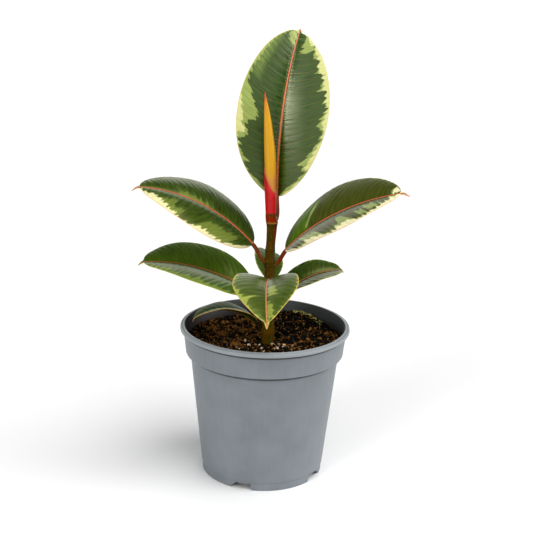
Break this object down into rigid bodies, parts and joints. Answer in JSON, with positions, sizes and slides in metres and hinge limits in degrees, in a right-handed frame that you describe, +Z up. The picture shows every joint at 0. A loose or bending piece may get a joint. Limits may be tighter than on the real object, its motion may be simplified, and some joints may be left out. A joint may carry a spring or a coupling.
{
  "type": "potted rubber plant",
  "caption": "Young variegated rubber plant with glossy cream-edged leaves and a red-sheathed new leaf, standing in soil in a round grey nursery pot; decorates a shelf, desk or floor.",
  "frame": {"origin": "middle of the whole plant's box at the level that the pot stands on; the pot's axis stands 9 mm behind it, at x = 0, y = 0.009", "axes": "+Z up along the pot's axis, -Y the front that faces the viewer, +X to the viewer's right"},
  "size_m": [0.201, 0.1462, 0.3386],
  "materials": {
    "pot_plastic": "satin moulded plastic, mid grey",
    "soil": "damp coarse peat soil, dark brown",
    "stem": "young brown and olive bark",
    "sheath": "smooth waxy red sheath",
    "new_leaf": "smooth waxy yellow-orange rolled leaf",
    "leaf": "glossy waxy leaf, dark green with cream and pale green edges"
  },
  "bodies": {
    "root": {"pot": "pot_plastic", "soil": "soil", "stem": "stem", "bud_sheath": "sheath", "new_leaf_spear": "new_leaf", "leaf_top": "leaf", "leaf_upper_left": "leaf", "leaf_upper_right": "leaf", "leaf_lower_left": "leaf", "leaf_lower_right": "leaf", "leaf_front": "leaf", "leaf_back": "leaf", "leaf_lowest": "leaf"}
  },
  "joints": []
}
